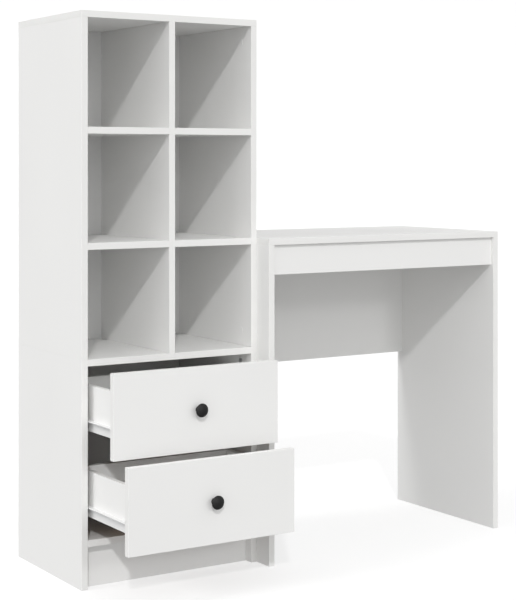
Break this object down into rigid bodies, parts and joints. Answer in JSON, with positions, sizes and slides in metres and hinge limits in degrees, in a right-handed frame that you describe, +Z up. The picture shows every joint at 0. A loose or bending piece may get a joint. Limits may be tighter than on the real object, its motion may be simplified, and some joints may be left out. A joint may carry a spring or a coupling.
{
  "type": "desk with shelf tower",
  "caption": "White board desk joined to a tall tower of open cubes above sliding drawers on roller runners with round knobs.",
  "frame": {"origin": "on the floor at the centre of the whole part's box, with the drawers as drawn", "axes": "+Z up, -Y towards the user, +X to the user's right, from the tower to the desk"},
  "size_m": [1.136, 0.5466, 1.254],
  "materials": {
    "white_board": "satin white melamine coating on particleboard",
    "fibreboard": "thin fibreboard, white foil on one face and raw brown on the other",
    "runner_steel": "white epoxy powder coat",
    "nylon": "moulded nylon",
    "knob_black": "matte black",
    "zinc_steel": "zinc plated",
    "beech": "fluted beech dowel",
    "cap_plastic": "white moulded cap"
  },
  "bodies": {
    "carcass": {"tower_top": "white_board", "upper_left_side": "white_board", "upper_right_side": "white_board", "lower_left_side": "white_board", "lower_right_side": "white_board", "centre_divider": "white_board", "shelf_upper_left": "white_board", "shelf_upper_right": "white_board", "shelf_lower_left": "white_board", "shelf_lower_right": "white_board", "middle_board": "white_board", "bottom_board": "white_board", "plinth": "white_board", "tower_back_upper": "fibreboard", "tower_back_lower": "fibreboard", "desk_top": "white_board", "desk_left_leg": "white_board", "desk_right_leg": "white_board", "front_rail": "white_board", "back_panel": "white_board", "upper_left_cabinet_runner": "runner_steel", "upper_right_cabinet_runner": "runner_steel", "lower_left_cabinet_runner": "runner_steel", "lower_right_cabinet_runner": "runner_steel", "cam_locks": "zinc_steel", "cam_bolts": "zinc_steel", "dowels": "beech", "confirmat_screws": "zinc_steel", "connector_bolts": "zinc_steel", "back_nails": "zinc_steel", "runner_screws": "zinc_steel", "cover_caps": "cap_plastic"},
    "upper_drawer": {"upper_drawer_front": "white_board", "upper_drawer_left_side": "white_board", "upper_drawer_right_side": "white_board", "upper_drawer_back": "white_board", "upper_drawer_bottom": "fibreboard", "upper_knob": "knob_black", "upper_knob_screw": "zinc_steel", "upper_drawer_left_runner": "runner_steel", "upper_drawer_right_runner": "runner_steel", "upper_drawer_fittings": "zinc_steel"},
    "lower_drawer": {"lower_drawer_front": "white_board", "lower_drawer_left_side": "white_board", "lower_drawer_right_side": "white_board", "lower_drawer_back": "white_board", "lower_drawer_bottom": "fibreboard", "lower_knob": "knob_black", "lower_knob_screw": "zinc_steel", "lower_drawer_left_runner": "runner_steel", "lower_drawer_right_runner": "runner_steel", "lower_drawer_fittings": "zinc_steel"},
    "upper_drawer_left_roller": {"upper_drawer_left_roller": "nylon"},
    "upper_drawer_right_roller": {"upper_drawer_right_roller": "nylon"},
    "lower_drawer_left_roller": {"lower_drawer_left_roller": "nylon"},
    "lower_drawer_right_roller": {"lower_drawer_right_roller": "nylon"},
    "upper_left_cabinet_roller": {"upper_left_cabinet_roller": "nylon"},
    "upper_right_cabinet_roller": {"upper_right_cabinet_roller": "nylon"},
    "lower_left_cabinet_roller": {"lower_left_cabinet_roller": "nylon"},
    "lower_right_cabinet_roller": {"lower_right_cabinet_roller": "nylon"}
  },
  "joints": [
    {"name": "upper_drawer_slide", "type": "slide", "parent": "carcass", "child": "upper_drawer", "axis": [0, -1, 0], "range_m": [-0.1165, 0.0735]},
    {"name": "upper_left_cabinet_roller_spin", "type": "hinge", "parent": "carcass", "child": "upper_left_cabinet_roller", "pos_m": [-0.547, -0.04025, 0.35455], "axis": [1, 0, 0], "continuous": true},
    {"name": "upper_left_drawer_roller_spin", "type": "hinge", "parent": "upper_drawer", "child": "upper_drawer_left_roller", "pos_m": [-0.547, 0.07075, 0.35145], "axis": [1, 0, 0], "continuous": true},
    {"name": "upper_right_cabinet_roller_spin", "type": "hinge", "parent": "carcass", "child": "upper_right_cabinet_roller", "pos_m": [-0.142, -0.04025, 0.35455], "axis": [1, 0, 0], "continuous": true},
    {"name": "upper_right_drawer_roller_spin", "type": "hinge", "parent": "upper_drawer", "child": "upper_drawer_right_roller", "pos_m": [-0.142, 0.07075, 0.35145], "axis": [1, 0, 0], "continuous": true},
    {"name": "lower_drawer_slide", "type": "slide", "parent": "carcass", "child": "lower_drawer", "axis": [0, -1, 0], "range_m": [-0.1835, 0.0065]},
    {"name": "lower_left_cabinet_roller_spin", "type": "hinge", "parent": "carcass", "child": "lower_left_cabinet_roller", "pos_m": [-0.547, -0.04025, 0.1678], "axis": [1, 0, 0], "continuous": true},
    {"name": "lower_left_drawer_roller_spin", "type": "hinge", "parent": "lower_drawer", "child": "lower_drawer_left_roller", "pos_m": [-0.547, 0.00375, 0.1647], "axis": [1, 0, 0], "continuous": true},
    {"name": "lower_right_cabinet_roller_spin", "type": "hinge", "parent": "carcass", "child": "lower_right_cabinet_roller", "pos_m": [-0.142, -0.04025, 0.1678], "axis": [1, 0, 0], "continuous": true},
    {"name": "lower_right_drawer_roller_spin", "type": "hinge", "parent": "lower_drawer", "child": "lower_drawer_right_roller", "pos_m": [-0.142, 0.00375, 0.1647], "axis": [1, 0, 0], "continuous": true}
  ],
  "couplings": [
    {"joint": "upper_left_cabinet_roller_spin", "follows": "upper_drawer_slide", "rad_per_m": 125},
    {"joint": "upper_left_drawer_roller_spin", "follows": "upper_drawer_slide", "rad_per_m": 125},
    {"joint": "upper_right_cabinet_roller_spin", "follows": "upper_drawer_slide", "rad_per_m": 125},
    {"joint": "upper_right_drawer_roller_spin", "follows": "upper_drawer_slide", "rad_per_m": 125},
    {"joint": "lower_left_cabinet_roller_spin", "follows": "lower_drawer_slide", "rad_per_m": 125},
    {"joint": "lower_left_drawer_roller_spin", "follows": "lower_drawer_slide", "rad_per_m": 125},
    {"joint": "lower_right_cabinet_roller_spin", "follows": "lower_drawer_slide", "rad_per_m": 125},
    {"joint": "lower_right_drawer_roller_spin", "follows": "lower_drawer_slide", "rad_per_m": 125}
  ]
}
